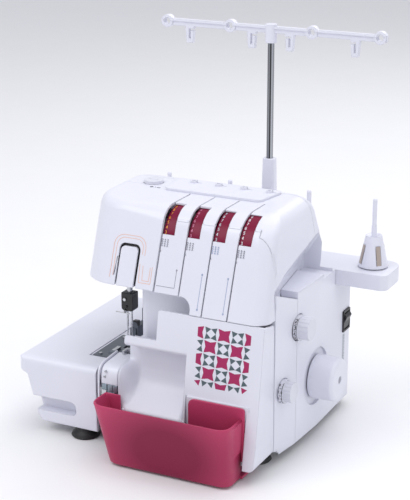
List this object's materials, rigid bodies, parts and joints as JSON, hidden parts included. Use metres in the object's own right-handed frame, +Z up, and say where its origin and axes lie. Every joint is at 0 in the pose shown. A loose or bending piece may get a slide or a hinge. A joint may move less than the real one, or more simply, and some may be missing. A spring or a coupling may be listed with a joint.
{
  "type": "serger overlock machine",
  "caption": "Table-top overlock sewing machine with tension dials, opening looper cover, scrap bin, slide-off table, spool stand and telescopic thread guide.",
  "frame": {"origin": "on the table, under the middle of the bounding box", "axes": "+X to the right of the person sewing (handwheel side), +Y to the back (thread stand), +Z up along the longest extent"},
  "size_m": [0.3404, 0.2617, 0.4096],
  "materials": {
    "white_plastic": "semi-gloss moulded white plastic",
    "shade_plastic": "semi-gloss moulded pale grey plastic",
    "crimson_plastic": "gloss crimson plastic",
    "bin_plastic": "translucent crimson moulded plastic",
    "black_plastic": "black moulded plastic",
    "foot_rubber": "soft black rubber",
    "polished_steel": "ground steel",
    "dark_steel": "dark ground steel",
    "chrome_tube": "bright chrome plate",
    "cast_alloy": "cast frame, as cast",
    "bronze": "sintered bronze",
    "belt_rubber": "black belt rubber",
    "lamp_glass": "frosted lamp glass",
    "metal_black": "black finish on steel"
  },
  "bodies": {
    "machine": {"base_plate": "cast_alloy", "rubber_feet": "foot_rubber", "machine_frame": "cast_alloy", "shaft_bushes": "bronze", "bed_arm": "white_plastic", "needle_plate": "dark_steel", "column_cover": "white_plastic", "right_cover": "white_plastic", "rear_cover": "white_plastic", "top_cover": "white_plastic", "face_cover": "white_plastic", "front_panel": "white_plastic", "thread_guide_plate": "white_plastic", "tension_rod": "polished_steel", "tension_discs": "polished_steel", "case_screws": "polished_steel", "drive_belt": "belt_rubber", "motor": "metal_black", "lower_knife": "polished_steel", "knife_guard": "white_plastic", "switch_bezel": "black_plastic", "power_inlet": "black_plastic", "work_lamp": "lamp_glass", "spool_stand": "white_plastic", "spool_pins": "white_plastic", "cone_holder": "white_plastic", "mast_post": "white_plastic"},
    "drive_shaft": {"main_shaft": "polished_steel", "handwheel": "white_plastic", "driven_pulley": "black_plastic"},
    "rotor": {"motor_shaft": "polished_steel", "motor_pulley": "black_plastic"},
    "tension_1": {"tension_dial_1": "crimson_plastic"},
    "tension_2": {"tension_dial_2": "crimson_plastic"},
    "tension_3": {"tension_dial_3": "crimson_plastic"},
    "tension_4": {"tension_dial_4": "crimson_plastic"},
    "needle_group": {"needle_bar": "polished_steel", "needle_clamp": "metal_black", "needles": "polished_steel"},
    "presser_group": {"presser_bar": "polished_steel", "presser_foot": "dark_steel"},
    "lifter": {"presser_lever": "white_plastic"},
    "pressure_screw": {"pressure_knob": "shade_plastic"},
    "take_up": {"take_up_lever": "polished_steel"},
    "looper_up": {"upper_looper": "polished_steel"},
    "looper_low": {"lower_looper": "polished_steel"},
    "feed": {"feed_dogs": "polished_steel"},
    "knife_up": {"upper_knife": "polished_steel"},
    "cover_slide": {"cover_hinge_rod": "polished_steel"},
    "cover": {"front_cover": "white_plastic"},
    "bin": {"trim_bin": "bin_plastic"},
    "table": {"extension_table": "white_plastic"},
    "length_control": {"stitch_length_dial": "shade_plastic"},
    "feed_control": {"differential_dial": "shade_plastic"},
    "rocker": {"power_switch": "black_plastic"},
    "mast": {"mast_tube": "chrome_tube"},
    "guide": {"guide_bar": "white_plastic"}
  },
  "joints": [
    {"name": "handwheel_spin", "type": "hinge", "parent": "machine", "child": "drive_shaft", "pos_m": [0.12975, 0.032, 0.066], "axis": [1, 0, 0], "continuous": true},
    {"name": "motor_spin", "type": "hinge", "parent": "machine", "child": "rotor", "pos_m": [0.02175, 0.092, 0.05], "axis": [1, 0, 0], "continuous": true},
    {"name": "tension_dial_1_turn", "type": "hinge", "parent": "machine", "child": "tension_1", "pos_m": [-0.00765, -0.0192, 0.2106], "axis": [1, 0, 0], "range_deg": [-160, 160]},
    {"name": "tension_dial_2_turn", "type": "hinge", "parent": "machine", "child": "tension_2", "pos_m": [0.01965, -0.0192, 0.2106], "axis": [1, 0, 0], "range_deg": [-160, 160]},
    {"name": "tension_dial_3_turn", "type": "hinge", "parent": "machine", "child": "tension_3", "pos_m": [0.04695, -0.0192, 0.2106], "axis": [1, 0, 0], "range_deg": [-160, 160]},
    {"name": "tension_dial_4_turn", "type": "hinge", "parent": "machine", "child": "tension_4", "pos_m": [0.07425, -0.0192, 0.2106], "axis": [1, 0, 0], "range_deg": [-160, 160]},
    {"name": "needle_bar_slide", "type": "slide", "parent": "machine", "child": "needle_group", "axis": [0, 0, 1], "range_m": [-0.022, 0.004]},
    {"name": "take_up_swing", "type": "hinge", "parent": "machine", "child": "take_up", "pos_m": [-0.04725, -0.019, 0.215], "axis": [1, 0, 0], "range_deg": [-22, 22]},
    {"name": "upper_looper_swing", "type": "hinge", "parent": "machine", "child": "looper_up", "pos_m": [-0.04825, -0.042, 0.03], "axis": [0, 1, 0], "range_deg": [-20, 20]},
    {"name": "lower_looper_swing", "type": "hinge", "parent": "machine", "child": "looper_low", "pos_m": [-0.05425, -0.03, 0.034], "axis": [0, 1, 0], "range_deg": [-20, 20]},
    {"name": "feed_dog_stroke", "type": "slide", "parent": "machine", "child": "feed", "axis": [0, 1, 0], "range_m": [-0.003, 0.003]},
    {"name": "upper_knife_stroke", "type": "slide", "parent": "machine", "child": "knife_up", "axis": [0, 0, 1], "range_m": [-0.006, 0.003]},
    {"name": "presser_bar_lift", "type": "slide", "parent": "machine", "child": "presser_group", "axis": [0, 0, 1], "range_m": [0, 0.0055]},
    {"name": "presser_lever_lift", "type": "hinge", "parent": "machine", "child": "lifter", "pos_m": [-0.05425, 0.045, 0.184], "axis": [0, 1, 0], "range_deg": [0, 46]},
    {"name": "pressure_knob_turn", "type": "hinge", "parent": "machine", "child": "pressure_screw", "pos_m": [-0.06825, 0.029, 0.245], "axis": [0, 0, 1], "range_deg": [-180, 180]},
    {"name": "front_cover_slide", "type": "slide", "parent": "machine", "child": "cover_slide", "axis": [1, 0, 0], "range_m": [0, 0.0035]},
    {"name": "front_cover_hinge", "type": "hinge", "parent": "cover_slide", "child": "cover", "pos_m": [0.03175, -0.086, 0.017], "axis": [1, 0, 0], "range_deg": [0, 55]},
    {"name": "trim_bin_slide", "type": "slide", "parent": "machine", "child": "bin", "axis": [0, -1, 0], "range_m": [0, 0.16]},
    {"name": "extension_table_slide", "type": "slide", "parent": "machine", "child": "table", "axis": [-1, 0, 0], "range_m": [0, 0.11]},
    {"name": "stitch_length_turn", "type": "hinge", "parent": "machine", "child": "length_control", "pos_m": [0.11975, -0.0125, 0.1336], "axis": [1, 0, 0], "range_deg": [-150, 120]},
    {"name": "differential_feed_turn", "type": "hinge", "parent": "machine", "child": "feed_control", "pos_m": [0.11975, -0.041, 0.0765], "axis": [1, 0, 0], "range_deg": [-120, 120]},
    {"name": "power_switch_rock", "type": "hinge", "parent": "machine", "child": "rocker", "pos_m": [0.11125, 0.1125, 0.1], "axis": [0, 1, 0], "range_deg": [-9, 0]},
    {"name": "mast_telescope", "type": "slide", "parent": "machine", "child": "mast", "axis": [0, 0, -1], "range_m": [0, 0.06]},
    {"name": "guide_bar_swivel", "type": "hinge", "parent": "mast", "child": "guide", "pos_m": [0.02775, 0.106, 0.4], "axis": [0, 0, 1], "range_deg": [-90, 90]}
  ],
  "couplings": [
    {"joint": "motor_spin", "follows": "handwheel_spin", "ratio": 2.6667},
    {"joint": "take_up_swing", "follows": "needle_bar_slide", "rad_per_m": 15},
    {"joint": "upper_looper_swing", "follows": "needle_bar_slide", "rad_per_m": -13},
    {"joint": "lower_looper_swing", "follows": "needle_bar_slide", "rad_per_m": 13},
    {"joint": "feed_dog_stroke", "follows": "needle_bar_slide", "ratio": 0.12},
    {"joint": "upper_knife_stroke", "follows": "needle_bar_slide", "ratio": 0.25},
    {"joint": "presser_lever_lift", "follows": "presser_bar_lift", "rad_per_m": 142.8},
    {"joint": "trim_bin_slide", "follows": "front_cover_hinge", "m_per_rad": 0.14}
  ]
}
